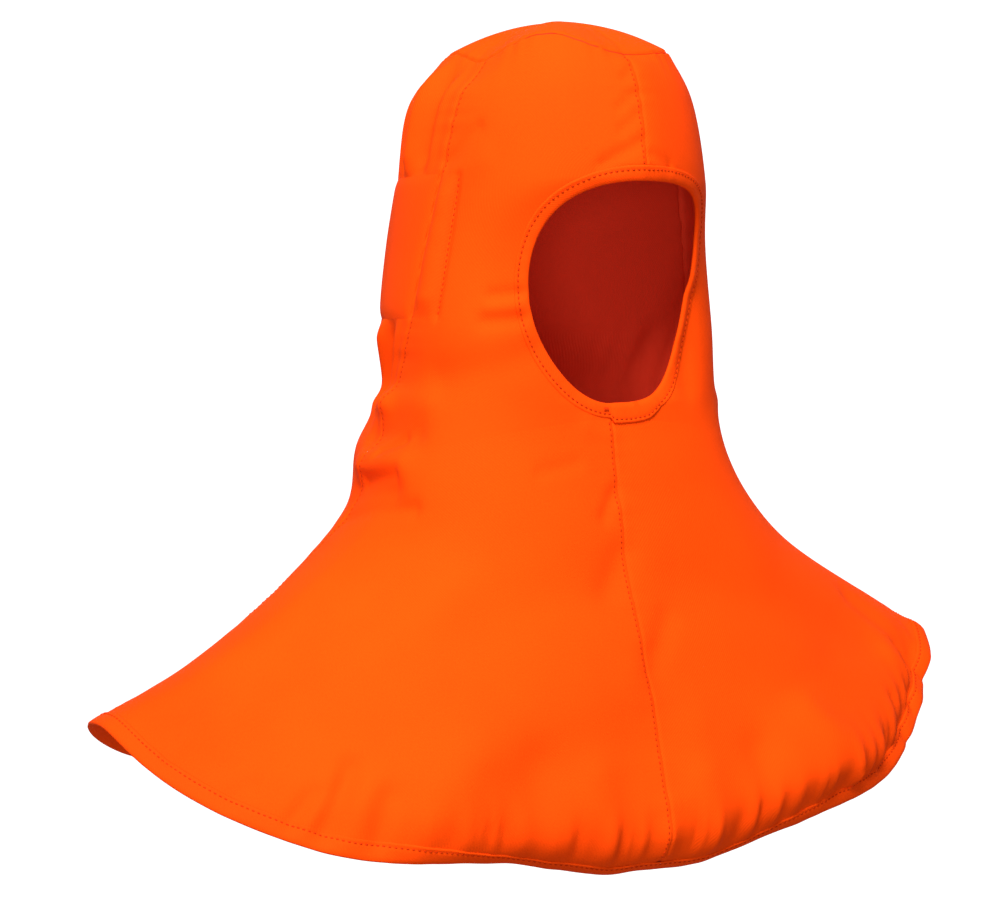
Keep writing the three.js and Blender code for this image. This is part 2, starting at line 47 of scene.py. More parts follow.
# Sections from the crown seam down to the hem: heights at the front, right, left and back, reaches to
# the right, left, front and back, the shift of the side points, the front exponent and the seam angle.
SECTIONS = np.array([
    [-20, -18, -18, -26, 65, 67, 90, 73, 0, 2.3, 66],
    [-50, -50, -50, -54, 86, 85, 103, 101, 0, 2.2, 71],
    [-96, -96, -96, -98, 93, 93, 111, 108, 0, 2.2, 77],
    [-144, -144, -144, -146, 100, 103, 101, 117, 0, 2.2, 83],
    [-192, -192, -192, -192, 106, 110, 88, 115, 0, 2.4, 88],
    [-240, -236, -236, -232, 105, 113, 76, 102, 0, 2.8, 100],
    [-288, -278, -274, -264, 123, 121, 83, 129, 0, 2.8, 102],
    [-346, -318, -308, -308, 135, 145, 99, 124, 0, 2.6, 108],
    [-406, -360, -342, -368, 184, 184, 117, 134, 0, 2.3, 108],
    [-464, -402, -376, -432, 246, 244, 136, 156, 4, 2.1, 108],
    [-520, -432, -408, -514, 311, 310, 156, 178, 16, 2.0, 109],
], float)
HEM_ROW = len(SECTIONS) - 1
Z_FRONT, Z_RIGHT, Z_LEFT, Z_BACK, RIGHT, LEFT, FRONT, BACK, MID, SQUARE, SEAM = range(11)
SQUARE_BACK = 2.1
SHOULDER_ROUND = {"right": 0.12, "left": 1.0, "back": 0.4}
CROWN_TOP = {"z": WALL, "y": -14}
CROWN_REACH = 70
# Places where the hem hangs lower or higher than its section: angle and drop
HEM_DROPS = [
    (-78, 2.5), (-68, 9.0), (-58, 14.5), (-48, 7.6), (-38, 6.6), (-28, 7.6), (-18, 9.3), (-8, 9.2), (2, 7.6),
    (12, 8.3), (20, 4.7), (29, 4.6), (38, 2.7), (48, 2.7), (58, 5.0), (68, 3.8), (78, 3.1),
]
HEM_DROP = {"width": 8, "start": 8}
# How much higher than its section the crown seam lies: angle and rise
CROWN_RISES = [(32, 8), (0, -4), (72, -8)]
CROWN_RISE = {"width": 18, "rows": 1.2}
# The hem rolls under along the front and the left: how far in, over how many rows and between which angles.
# Towards the left tip the cloth also bulges out above the roll, and the tape stands out from it again.
HEM_ROLL = {"depth": 35, "rows": 0.86, "left_rows": 1.2, "power": 3.2, "rest": 0.1, "flange": 0.92,
            "flange_rows": 1.15}
HEM_ROLL_ANGLES = {"from": -102, "full_from": -36, "full_to": 34, "to": 62, "left": -48, "left_width": 22,
                   "flange": -10, "flange_width": 58}
HEM_BULGE = {"angle": -49.3, "width": 22, "height": 20.9, "row": 8.6, "rows": 0.9, "back": 0.6}
ROW_HEIGHT = 36
HEM_TAPE_ROWS = 0.17

# Face opening: rows of its ends, and for the right and left side the widest row, the half angle there,
# the exponents above and below it and how far the side leans towards the brow
FACE = {"top": 2.14, "bottom": 5.09}
FACE_SIDES = np.array([(3.45, 39.8, 2.1, 2.0, 0.0), (4.25, 38.4, 2.53, 3.4, 0.4)])
FACE_DRAW = {"depth": 8.6, "spread": 15}
FACE_TAPE_WIDTH = 8.5
# The end of the face binding is lapped at the chin, on the left: turns, width and heights
LAP = {"from": 2.45, "ramp": 0.35, "step": 0.1, "wider": 3.5, "lift": 0.75, "stitch_lift": 0.7}
BAND = {"top": 2.05, "bottom": 3.95, "wall": 1.0}
BAND_SIZE = {"length": 330, "height": 95, "inset": 2.0}
BAND_END = {"width": 24, "top_width": 15, "pad": 3.8, "taper": 16, "inset": 1.2, "puff": 0.06}
# Gathers of the back over and under the band, which fade from the right seam towards the middle
GATHERS = {"waves": 7, "height": 4.2, "seam_share": 0.08, "reach": 2, "above": 0.8, "below": 1.3,
           "ramp": 0.3, "at_band": 0.3, "fade_from": 0.16, "fade": 0.14, "middle": 0.1}
BAND_PINCH = {"depth": 0.4, "top_rows": 0.07, "bottom_rows": 0.08}
BACK_FOLDS = {"waves": 4, "height": 5, "start": 6.2}
FOLDS_START = 0.3

# Broad folds: angle and row of both ends, width and height
FOLDS = [
    [101, 5.2, 76, 5.1, 11, 3.5],
    [104, 5.75, 78, 5.6, 10, -3.5],
    [105, 6.15, 80, 6.0, 11, 3.5],
    [107, 6.6, 82, 6.4, 10, -3],
    [-100, 5.3, -74, 5.2, 11, 3],
    [-104, 5.8, -78, 5.7, 10, -3],
    [-106, 6.3, -80, 6.2, 11, 3],
    [78, 9.2, 8, 7.1, 26, -4],
    [62, 9.6, 10, 8.2, 24, 3.5],
    [-20, 7.2, -70, 9.0, 24, -4],
    [-16, 8.6, -52, 9.6, 22, 3.5],
    [52, 10, 46, 8.9, 18, 4],
    [36, 10, 33, 8.9, 16, -4],
    [20, 10, 19, 9.0, 15, 4],
    [-14, 10, -12, 9.1, 15, 4],
    [-32, 10, -29, 9.0, 15, -4],
    [-50, 10, -45, 8.9, 16, 4],
    [0, 0.5, 0, 1.9, 20, 4.5],
]

# Creases and small folds, in the same columns
CREASES = [
    [14.5, 1.96, 1.5, 1.68, 4, -1.8],
    [8, 1.24, 2, 1.04, 4, -1.2],
    [8, 1.54, 2, 1.34, 4, -1.2],
    [4.5, 0.72, 1, 0.5, 4, -1.2],
    [-2, 1.84, -10, 1.96, 4, -1.4],
    [74, 1.94, 59, 1.48, 5, -1.6],
    [74, 2.1, 56, 1.9, 9, 1.2],
    [52, 3.64, 42, 3.62, 4.5, -1.6],
    [54, 3.98, 42, 3.96, 6, -2.4],
    [53, 3.81, 43, 3.8, 5, 1.0],
    [71.5, 4.78, 38, 4.44, 13, -2.6],
    [-43, 4.9, -44, 3.7, 9, -2.5],
    [34.5, 5.94, 20, 5.84, 5, -1.2],
    [8.5, 6.44, 1, 6.14, 5, -2.0],
    [12, 5.35, 3, 5.5, 8, 1.5],
    [10, 7.2, 1, 6.8, 10, -2.4],
    [-2, 8.0, -11.5, 7.54, 9, -2.4],
    [-6, 8.1, -30, 8.9, 16, -2],
    [70, 7.6, 83, 9.4, 22, -3.5],
    [58, 7.3, 75, 9.0, 20, 2.5],
    [93.5, 5.92, 84, 5.68, 4, -2.2],
    [99.5, 6.4, 82, 6.16, 5, -2.2],
    [106, 7.06, 72.5, 6.56, 6, -2.4],
    [118, 5.3, 100, 5.25, 9, 5],
    [66, 9.82, 65.5, 9.5, 6, -3.0],
    [64.3, 9.8, 64.8, 9.3, 6, 2.0],
    [62.3, 9.8, 63.5, 9.2, 8, -4.0],
    [59.3, 9.8, 60, 9.3, 8, 2.0],
    [56, 9.8, 57, 9.35, 7, -2.5],
    [80.5, 9.8, 81.5, 9.6, 6, -1.5],
    [73, 9.85, 72, 9.65, 7, -1.5],
    [-74, 9.96, -75, 9.45, 5, -2.5],
    [-68, 9.9, -73.5, 9.6, 4, -2],
    [-64, 9.95, -64.5, 9.4, 5, -2.5],
    [-70.5, 9.95, -72, 9.3, 7, 2.0],
    [-77.5, 8.8, -76, 9.7, 10, -3],
    [-82, 9.95, -77, 10, 13, 6],
    [66.8, 2.1, 73, 3.9, 3, -1.5],
    [-66.8, 2.1, -73, 3.9, 3, -1.5],
    [77.6, 2.1, 87.5, 3.9, 3, -1.2],
    [-77.6, 2.1, -87.5, 3.9, 3, -1.2],
]
# The tape holds the folds flat at the hem, and puckers the cloth above it
HEM_TAUT = {"row": 9.5, "rows": 0.4, "share": 0.8}
HEM_PUCKERS = {"height": 2.4, "row": 9.62, "rows": 0.26, "wave": 2.3, "at_tape": 0.06}
FINE_PUCKERS = {"height": 4.2, "row": 9.62, "rows": 0.2, "wave": 1.15, "power": 1.9,
                "group": 6, "between": 0.15}
PUCKER_ANGLES = {"from": -74, "rise": 18, "to": 60, "fall": 25, "elsewhere": 0.15}

SEAM_DIP = {"front": 0.7, "side": 0.7, "crown": 1.6, "width": 1.2}
PUCKER = {"height": 0.55, "reach": 11}


def smooth(t):
    c = np.clip(t, 0, 1)
    return c * c * (3 - 2 * c)


def lerp(a, b, t):
    return a + (b - a) * t


def unit(v):
    return v / np.maximum(np.linalg.norm(v, axis=-1, keepdims=True), 1e-9)


def bell(x, middle, width):
    return np.exp(-(((x - middle) / width) ** 2))


def half_turn(angle):
    """The same angle between -180 and 180."""
    return np.where(angle > 180, angle - 360, angle)


def ripple(s, seed):
    """An uneven wave along a seam, from about -1 to 1."""
    first = np.sin(s / 1.9 + 1.4 * np.sin(s / 7.3 + seed))
    second = np.sin(s / 3.1 + 2.1 * seed + np.sin(s / 11.7))
    return 0.55 * first + 0.45 * second


def lengths_along(points):
    """How far along a line of points each one lies."""
    return np.concatenate([[0], np.cumsum(np.linalg.norm(np.diff(points, axis=0), axis=-1))])


def section_at(row):
    """The section at each row, by a smooth curve through the table."""
    at = np.clip(row, 0, HEM_ROW)
    i = np.minimum(at.astype(int), HEM_ROW - 1)
    f = (at - i)[..., None]
    ends = [2 * SECTIONS[0] - SECTIONS[1], *SECTIONS, 2 * SECTIONS[-1] - SECTIONS[-2]]
    table = np.array(ends)
    a, b, c, d = table[i], table[i + 1], table[i + 2], table[i + 3]
    square = 2 * a - 5 * b + 4 * c - d
    cube = 3 * b - a - 3 * c + d
    return 0.5 * (2 * b + (c - a) * f + square * f**2 + cube * f**3)


def bells(angle, table, width):
    turned = half_turn(angle)
    return sum(height * bell(turned, middle, width) for middle, height in table)


def edge_lift(angle, row):
    """How much higher the cloth lies near the crown seam, or lower near the hem."""
    rise = bells(angle, CROWN_RISES, CROWN_RISE["width"]) * (1 - smooth(row / CROWN_RISE["rows"]))
    drop = bells(angle, HEM_DROPS, HEM_DROP["width"])
    return rise - drop * smooth((row - HEM_DROP["start"]) / (HEM_ROW - HEM_DROP["start"]))


def hem_roll(angle, row):
    """How far the cloth near the hem lies inside its section."""
    turned = half_turn(angle)
    ends = HEM_ROLL_ANGLES
    rising = smooth((turned - ends["from"]) / (ends["full_from"] - ends["from"]))
    falling = smooth((ends["to"] - turned) / (ends["to"] - ends["full_to"]))
    left = bell(turned, ends["left"], ends["left_width"])
    rows = lerp(HEM_ROLL["rows"], HEM_ROLL["left_rows"], left)
    amount = lerp(HEM_ROLL["rest"], 1, rising * falling)
    bulge = HEM_BULGE["height"] * bell(turned, HEM_BULGE["angle"], HEM_BULGE["width"])
    share = np.clip((row - HEM_ROW) / rows + 1, 0, 1) ** HEM_ROLL["power"]
    at_tape = (1 - HEM_ROLL["flange_rows"] * HEM_TAPE_ROWS / rows) ** HEM_ROLL["power"]
    turned_out = smooth((ends["flange"] - turned) / ends["flange_width"]) * HEM_ROLL["flange"]
    share = share - turned_out * np.maximum(share - at_tape, 0)
    rise = smooth((row - HEM_BULGE["row"]) / HEM_BULGE["rows"])
    return (HEM_ROLL["depth"] * amount + HEM_BULGE["back"] * bulge) * share - bulge * rise


def body(angle, row):
    """The body cloth without folds. The angle is in degrees from the front, towards the right."""
    s = np.moveaxis(section_at(row), -1, 0)
    ahead = -np.cos(angle * DEGREE)
    aside = -np.sin(angle * DEGREE)
    is_front = ahead <= 0
    is_right = aside <= 0
    half = np.where(is_right, s[RIGHT], s[LEFT])
    z_side = np.where(is_right, s[Z_RIGHT], s[Z_LEFT])
    reach = np.where(is_front, s[FRONT] + s[MID], s[BACK] - s[MID])
    z_far = np.where(is_front, s[Z_FRONT], s[Z_BACK])
    power = np.where(is_front, s[SQUARE], SQUARE_BACK)
    side_round = np.where(is_right, SHOULDER_ROUND["right"], SHOULDER_ROUND["left"])
    rounding = np.where(is_front, side_round, SHOULDER_ROUND["back"])
    radius = (np.abs(ahead / reach) ** power + np.abs(aside / half) ** power) ** (-1 / power)
    fall = np.hypot(ahead * radius / reach, rounding) - rounding
    fall = fall / (np.hypot(1, rounding) - rounding)
    z = lerp(z_side, z_far, fall) + edge_lift(angle, row)
    radius = radius - hem_roll(angle, row)
    return np.stack([aside * radius, ahead * radius + s[MID], z], -1)


def plain(angle, row):
    """The cloth without folds: rows below zero run over the crown, from its middle at -1 to its seam."""
    angle, row = np.broadcast_arrays(np.asarray(angle, float), np.asarray(row, float))
    base = body(angle, np.maximum(row, 0))
    share = np.clip(1 + row, 0, 1)[..., None]
    x = base[..., :1] * share
    y = lerp(CROWN_TOP["y"], base[..., 1:2], share)
    z = lerp(CROWN_TOP["z"], base[..., 2:], share**2)
    return np.where((row < 0)[..., None], np.concatenate([x, y, z], -1), base)


def normal_of(surface, angle, row):
    along = surface(angle + 0.5, row) - surface(angle - 0.5, row)
    lower = np.minimum(row + 0.01, HEM_ROW)
    down = surface(angle, lower) - surface(angle, lower - 0.02)
    return unit(np.cross(along, down))


def face_side(side):
    """The sizes of the opening on a side, 1 for the right and -1 for the left."""
    return np.moveaxis(FACE_SIDES[(np.asarray(side) < 0).astype(int)], -1, 0)


def face_share(row, side):
    """How far a row lies from the opening's widest row, as a share of the way to its end."""
    widest = face_side(side)[0]
    return (row - widest) / np.where(row < widest, widest - FACE["top"], FACE["bottom"] - widest)


def face_lean(row, side):
    """How much wider the opening is on a side than an upright one, more towards the brow."""
    widest, _, _, _, lean = face_side(side)
    within = np.clip(row, FACE["top"], FACE["bottom"])
    return 1 - lean * (within - widest) / (widest - FACE["top"])


def face_half_angle(row, side):
    _, half, round_top, round_bottom, _ = face_side(side)
    share = face_share(row, side)
    power = np.where(share < 0, round_top, round_bottom)
    far = np.minimum(np.abs(share), 1)
    return half * (1 - far**power) ** (1 / power) * face_lean(row, side)


def face_edge(turn, side):
    """Angle and row on the opening's edge: turn runs from 0 at the top to pi at the bottom."""
    widest, half, round_top, round_bottom, _ = face_side(side)
    upper = turn < math.pi / 2
    height = np.where(upper, widest - FACE["top"], FACE["bottom"] - widest)
    power = 2 / np.where(upper, round_top, round_bottom)
    lift = np.abs(np.cos(turn)) ** power * height
    row = widest + np.where(upper, -lift, lift)
    return side * half * np.abs(np.sin(turn)) ** power * face_lean(row, side), row


def fold_relief(point, folds):
    """The height of the folds of a table at each point."""
    total = np.zeros(point.shape[:-1])
    for angle_a, row_a, angle_b, row_b, width, height in folds:
        a = plain(angle_a, row_a)
        along = plain(angle_b, row_b) - a
        share = np.clip((point - a) @ along / (along @ along), 0, 1)
        far = np.linalg.norm(point - a - share[..., None] * along, axis=-1)
        total += height * np.exp(-((far / width) ** 2))
    return total


def face_relief(turned, row):
    """The binding draws the cloth in beside the face opening."""
    beside = (np.abs(turned) - face_half_angle(row, turned)) / FACE_DRAW["spread"]
    return -FACE_DRAW["depth"] * np.maximum(0, 1 - face_share(row, turned) ** 2) * np.exp(-(beside**2))


def back_relief(angle, row):
    """Gathers beside the band and long folds down the back of the cape."""
    seam = section_at(row)[..., SEAM]
    across = (angle - seam) / (360 - 2 * seam)
    inside = smooth(np.minimum(across, 1 - across) / GATHERS["seam_share"])
    above = smooth((row - BAND["top"] + GATHERS["reach"]) / GATHERS["above"]) * (row < BAND["top"])
    below = smooth((BAND["bottom"] + GATHERS["reach"] - row) / GATHERS["below"]) * (row > BAND["bottom"])
    turns = 2 * math.pi * GATHERS["waves"] * across
    waves = 0.55 * np.cos(turns) + 0.6 * np.cos(2.3 * turns + 1.5 * np.sin(0.7 * turns))
    clear = smooth(np.maximum(BAND["top"] - row, row - BAND["bottom"]) / GATHERS["ramp"])
    gathers = GATHERS["height"] * (above + below) * lerp(GATHERS["at_band"], 1, clear) * waves
    pinch = bell(row, BAND["top"], BAND_PINCH["top_rows"])
    pinch = pinch + bell(row, BAND["bottom"], BAND_PINCH["bottom_rows"])
    middle = smooth((np.minimum(across, 2 - 2 * across) - GATHERS["fade_from"]) / GATHERS["fade"])
    gathers = (gathers - BAND_PINCH["depth"] * pinch) * lerp(1, GATHERS["middle"], middle)
    long = smooth((row - BACK_FOLDS["start"]) / (HEM_ROW - BACK_FOLDS["start"]))
    folds = BACK_FOLDS["height"] * long * np.cos(2 * math.pi * BACK_FOLDS["waves"] * across)
    return inside * (gathers + folds)


def hem_puckers(point, angle, row):
    """Waves over the hem's tape, with narrow valleys in groups."""
    turned = half_turn(angle)
    along = np.arctan2(point[..., 0], -point[..., 1]) * np.hypot(point[..., 0], point[..., 1])
    taped = smooth((row - HEM_ROW + 1.4 * HEM_TAPE_ROWS) / HEM_TAPE_ROWS)
    near = bell(row, HEM_PUCKERS["row"], HEM_PUCKERS["rows"]) * lerp(1, HEM_PUCKERS["at_tape"], taped)
    ends = PUCKER_ANGLES
    within = smooth((turned - ends["from"]) / ends["rise"]) * smooth((ends["to"] - turned) / ends["fall"])
    valleys = (0.5 + 0.5 * ripple(along / FINE_PUCKERS["wave"], 3.0)) ** FINE_PUCKERS["power"]
    groups = smooth(0.6 + 0.8 * ripple(along / FINE_PUCKERS["group"], 5.0))
    fine = FINE_PUCKERS["height"] * bell(row, FINE_PUCKERS["row"], FINE_PUCKERS["rows"])
    fine = fine * valleys * lerp(FINE_PUCKERS["between"], 1, groups) * (1 - taped)
    waves = HEM_PUCKERS["height"] * near * ripple(along / HEM_PUCKERS["wave"], 1.0)
    return lerp(ends["elsewhere"], 1, within) * (waves - fine)


def soft_cloth(angle, row):
    """The outside of the cloth with its folds, without the grooves of the seams."""
    angle, row = np.broadcast_arrays(np.asarray(angle, float), np.asarray(row, float))
    point = plain(angle, row)
    turned = half_turn(angle)
    taut = 1 - HEM_TAUT["share"] * smooth((row - HEM_TAUT["row"]) / HEM_TAUT["rows"])
    relief = fold_relief(point, FOLDS) * taut + fold_relief(point, CREASES) + face_relief(turned, row)
    relief = relief + back_relief(np.mod(angle, 360), row) + hem_puckers(point, angle, row)
    relief = relief * smooth(row / FOLDS_START)
    return point + normal_of(body, angle, np.maximum(row, 0)) * relief[..., None]


def cloth(angle, row):
    """The cloth with the grooves and puckers of its seams."""
    angle, row = np.broadcast_arrays(np.asarray(angle, float), np.asarray(row, float))
    point = soft_cloth(angle, row)
    turned = half_turn(angle)
    per_degree = np.hypot(point[..., 0], point[..., 1]) * DEGREE
    seam = section_at(row)[..., SEAM]
    front = np.abs(turned) * per_degree
    side = np.abs(np.abs(turned) - seam) * per_degree
    crown = np.where(row >= 0, row * ROW_HEIGHT, -row * CROWN_REACH)
    dip = np.zeros(row.shape)
    lift = np.zeros(row.shape)
    for far, s, seed, depth in (
        (front, point[..., 2], 0.4, SEAM_DIP["front"]),
        (side, point[..., 2], 2.0, SEAM_DIP["side"]),
        (crown, turned * 1.4, 4.0, SEAM_DIP["crown"]),
    ):
        dip -= depth * np.exp(-((far / SEAM_DIP["width"]) ** 2))
        lift += PUCKER["height"] * ripple(s, seed) * np.exp(-far / PUCKER["reach"])
    normal = normal_of(plain, angle, np.maximum(row, -0.99))
    return point + normal * (dip + lift)[..., None]


def angle_of(length, angle, row):
    """The angle that a length of cloth takes up at a place."""
    point = body(np.asarray(angle, float), np.asarray(row, float))
    return length / np.hypot(point[..., 0], point[..., 1]) / DEGREE


def angle_between(first, last, share, row):
    """An angle part of the way between two, so that equal shares are about equal lengths of cloth."""
    s = section_at(row)
    stretch = s[..., RIGHT] / (s[..., FRONT] + s[..., MID])

    def turn_of(angle):
        return np.arctan2(np.sin(angle * DEGREE) / stretch, np.cos(angle * DEGREE))

    turn = lerp(turn_of(first), turn_of(last), share)
    return np.arctan2(np.sin(turn) * stretch, np.cos(turn)) / DEGREE


def beside_face(turn, side, width):
    """The place at a distance from the face opening's edge, square to the edge."""
    turn = np.asarray(turn, float)
    angle, row = face_edge(turn, side)
    step = 0.02
    before = face_edge(np.maximum(turn - step, 0), side)
    after = face_edge(np.minimum(turn + step, math.pi), side)
    along = body(*after) - body(*before)
    away = unit(np.cross(along, normal_of(body, angle, row))) * np.asarray(side)[..., None]
    per_angle = (body(angle + step, row) - body(angle - step, row)) / (2 * step)
    per_row = (body(angle, row + step) - body(angle, row - step)) / (2 * step)
    aa = np.sum(per_angle**2, -1)
    ar = np.sum(per_angle * per_row, -1)
    rr = np.sum(per_row**2, -1)
    a = np.sum(per_angle * away, -1) * width
    r = np.sum(per_row * away, -1) * width
    scale = aa * rr - ar * ar
    return angle + (a * rr - r * ar) / scale, row + (r * aa - a * ar) / scale


# Grids of the panels
EDGE_STEPS = np.array([0.0, 0.4, 0.9, 1.5, 2.3, 3.4, 5.0])
BROW_RAYS, FACE_RAYS, CHEST_RAYS = 34, 104, 75
SEAM_BROW, SEAM_BAND, SEAM_CAPE = 48, 50, 114
TAPE_SHARES = np.array([0.2, 0.45, 0.7, 1.0])
SIDE_COLUMNS = 190
BACK_COLUMNS = 140
CROWN_RINGS, CROWN_STOPS, CROWN_HUB = 34, 220, 0.04
ROUGH_STEPS = 30
STRIP_SHARES = (1.0, 0.75, 0.5, 0.25)
STRIP_SHIFT = 8


def seam_rows():
    hem_tape = HEM_ROW - HEM_TAPE_ROWS
    start = EDGE_STEPS[-1] / ROW_HEIGHT
    return np.concatenate([
        (EDGE_STEPS[:-1] + GAP / 2) / ROW_HEIGHT,
        np.linspace(start, BAND["top"], SEAM_BROW, endpoint=False),
        np.linspace(BAND["top"], BAND["bottom"], SEAM_BAND, endpoint=False),
        np.linspace(BAND["bottom"], hem_tape, SEAM_CAPE + 1),
        hem_tape + HEM_TAPE_ROWS * TAPE_SHARES,
    ])


def graded(length, count):
    """Shares along rays of those lengths, close together near both ends."""
    near = EDGE_STEPS / length[:, None]
    middle = np.linspace(0, 1, count)[1:-1]
    middle = near[:, -1:] + (1 - 2 * near[:, -1:]) * middle
    return np.concatenate([near, middle, 1 - near[:, ::-1]], 1)


def length_of(points):
    return np.linalg.norm(np.diff(points, axis=1), axis=-1).sum(1)


def face_turns(side, shares):
    """Turns at shares of the length of the opening's edge on a side."""
    from_widest = np.linspace(-1, 1, 2001)
    turns = math.pi / 2 * (1 + np.sign(from_widest) * np.abs(from_widest) ** 2.5)
    length = lengths_along(plain(*face_edge(turns, np.full(turns.shape, float(side)))))
    return np.interp(shares * length[-1], length, turns)


def side_grid(side):
    """Angles and rows of a side panel's rays, and of the strip under the face binding."""
    ends = seam_rows()
    turns = face_turns(side, np.linspace(0, 1, FACE_RAYS))
    face_angles, face_rows = beside_face(turns, side, FACE_TAPE_WIDTH)
    start_row = EDGE_STEPS[-1] / ROW_HEIGHT
    hem_tape = HEM_ROW - HEM_TAPE_ROWS
    chest = np.linspace(face_rows[-1], hem_tape, CHEST_RAYS + 1)[1:]
    rows = np.concatenate([
        (EDGE_STEPS[:-1] + GAP / 2) / ROW_HEIGHT,
        np.linspace(start_row, face_rows[0], BROW_RAYS, endpoint=False),
        face_rows,
        chest,
        hem_tape + HEM_TAPE_ROWS * TAPE_SHARES,
    ])
    angles = np.zeros(len(rows))
    first_face = len(EDGE_STEPS) - 1 + BROW_RAYS
    angles[first_face:first_face + FACE_RAYS] = face_angles
    gap = angle_of(GAP / 2, 0 * rows, rows)
    first = side * np.maximum(angles * side, gap)
    seam = section_at(ends)[..., SEAM]
    last = side * (seam - angle_of(GAP / 2, seam, ends))
    rough = np.linspace(0, 1, ROUGH_STEPS)[None, :]

    def place(share):
        angle = angle_between(first[:, None], last[:, None], share, ends[:, None] + 0 * share)
        return angle, lerp(rows[:, None], ends[:, None], smooth(share))

    shares = graded(length_of(plain(*place(rough + 0 * rows[:, None]))), SIDE_COLUMNS)
    grid = place(shares)
    strip = []
    for share in STRIP_SHARES:
        a, r = beside_face(turns, side, FACE_TAPE_WIDTH * (1 - share))
        strip.append((side * np.maximum(a * side, angle_of(GAP / 2, 0 * r, r)), r))
    return grid, np.array(strip), first_face


def back_grid():
    rows = seam_rows()
    seam = section_at(rows)[..., SEAM]
    first = seam + angle_of(GAP / 2, seam, rows)
    last = 360 - seam - angle_of(GAP / 2, -seam, rows)
    rough = np.linspace(0, 1, ROUGH_STEPS)[None, :]

    def place(share):
        row = rows[:, None] + 0 * share
        return angle_between(first[:, None] - 180, last[:, None] - 180, share, row) + 180, row

    shares = graded(length_of(plain(*place(rough + 0 * rows[:, None]))), BACK_COLUMNS)
    return place(shares)


# Meshes
HOOD_MIDDLE = np.array([0, 0, -300])
SHARP_ANGLE = 60 * DEGREE


def grid_faces(rows, columns, start=0, ring=False):
    steps = columns if ring else columns - 1
    i, k = np.meshgrid(np.arange(rows - 1), np.arange(steps), indexing="ij")
    a = start + i * columns + k
    b = start + i * columns + (k + 1) % columns
    return np.stack([a, b, b + columns, a + columns], -1).reshape(-1, 4)


def face_normals(points, faces):
    return np.cross(points[faces[:, 2]] - points[faces[:, 0]], points[faces[:, 3]] - points[faces[:, 1]])


def vertex_normals(points, faces):
    cross = face_normals(points, faces)
    total = np.zeros_like(points)
    for k in range(4):
        np.add.at(total, faces[:, k], cross)
    return unit(total)


def closed_sheet(top, under, faces, uv):
    """Points, faces and map of a sheet with a top, an underside and walls round its rim."""
    count = len(top)
    edges = np.concatenate([faces[:, [k, (k + 1) % 4]] for k in range(4)])
    forward = edges[:, 0] * count + edges[:, 1]
    backward = edges[:, 1] * count + edges[:, 0]
    rim = edges[~np.isin(forward, backward)]
    walls = np.stack([rim[:, 1], rim[:, 0], rim[:, 0] + count, rim[:, 1] + count], -1)
    all_faces = np.concatenate([faces, faces[:, ::-1] + count, walls])
    return np.concatenate([top, under]), all_faces, np.concatenate([uv, uv])


def shell(points, faces, uv, outside, inside):
    """A closed sheet between two offsets from a skin whose faces point out."""
    normals = vertex_normals(points, faces)
    return closed_sheet(points + normals * outside, points + normals * inside, faces, uv)


def mark_inside(piece):
    """Note which half of a shell's vertices lie on the inside of the cloth."""
    count = len(piece.data.vertices)
    inside = np.arange(count) >= count // 2
    piece.data.attributes.new("inside", "FLOAT", "POINT").data.foreach_set("value", inside.astype(np.float32))
    return piece


def add_piece(name, points, faces, uv, material):
    mesh = bpy.data.meshes.new(name)
    corners = faces.tolist() if isinstance(faces, np.ndarray) else faces
    mesh.from_pydata((np.asarray(points) * MM).tolist(), [], corners)
    layer = mesh.uv_layers.new(name="cloth")
    corner = np.zeros(len(mesh.loops), int)
    mesh.loops.foreach_get("vertex_index", corner)
    layer.data.foreach_set("uv", np.asarray(uv, np.float32)[corner].ravel())
    mesh.polygons.foreach_set("use_smooth", np.ones(len(mesh.polygons), bool))
    mesh.set_sharp_from_angle(angle=SHARP_ANGLE)
    mesh.materials.append(material)
    piece = bpy.data.objects.new(name, mesh)
    bpy.context.scene.collection.objects.link(piece)
    return piece


def grid_uv(points):
    """Metres along and across a grid of points, for the weave."""
    along = np.linalg.norm(np.diff(points, axis=1), axis=-1)
    u = np.concatenate([np.zeros((len(points), 1)), np.cumsum(along, 1)], 1)
    middle = points[:, points.shape[1] // 2]
    v = lengths_along(middle)
    return np.stack([u, v[:, None] + 0 * u], -1) * MM


def side_panel(name, side, material):
    """A side of the hood, with the strip of cloth that lies inside the face binding."""
    grid, strip, first_face = side_grid(side)
    points = cloth(*grid)
    uv = grid_uv(points)
    rays, columns = grid[0].shape
    strip_points = cloth(strip[:, 0].T, strip[:, 1].T)
    strip_uv = uv[first_face:first_face + FACE_RAYS, :1] - np.array([STRIP_SHIFT, 0]) * MM
    strip_uv = np.repeat(strip_uv, strip_points.shape[1], 1)
    faces = [grid_faces(rays, columns)]
    start = rays * columns
    extra = strip_points.shape[1]
    i, k = np.meshgrid(np.arange(FACE_RAYS - 1), np.arange(extra), indexing="ij")

    def number(i, k):
        return np.where(k < extra, start + i * extra + k, (first_face + i) * columns)

    quads = [number(i, k), number(i, k + 1), number(i + 1, k + 1), number(i + 1, k)]
    faces.append(np.stack(quads, -1).reshape(-1, 4))
    faces = np.concatenate(faces)
    points = np.concatenate([points.reshape(-1, 3), strip_points.reshape(-1, 3)])
    uv = np.concatenate([uv.reshape(-1, 2), strip_uv.reshape(-1, 2)])
    faces = outward(points, faces)
    return mark_inside(add_piece(name, *shell(points, faces, uv, 0, -WALL), material))


def outward(points, faces):
    """Faces turned so that they point away from the hood's axis."""
    away = points[faces].mean(1) - HOOD_MIDDLE
    return faces if np.sum(face_normals(points, faces) * away) > 0 else faces[:, ::-1]


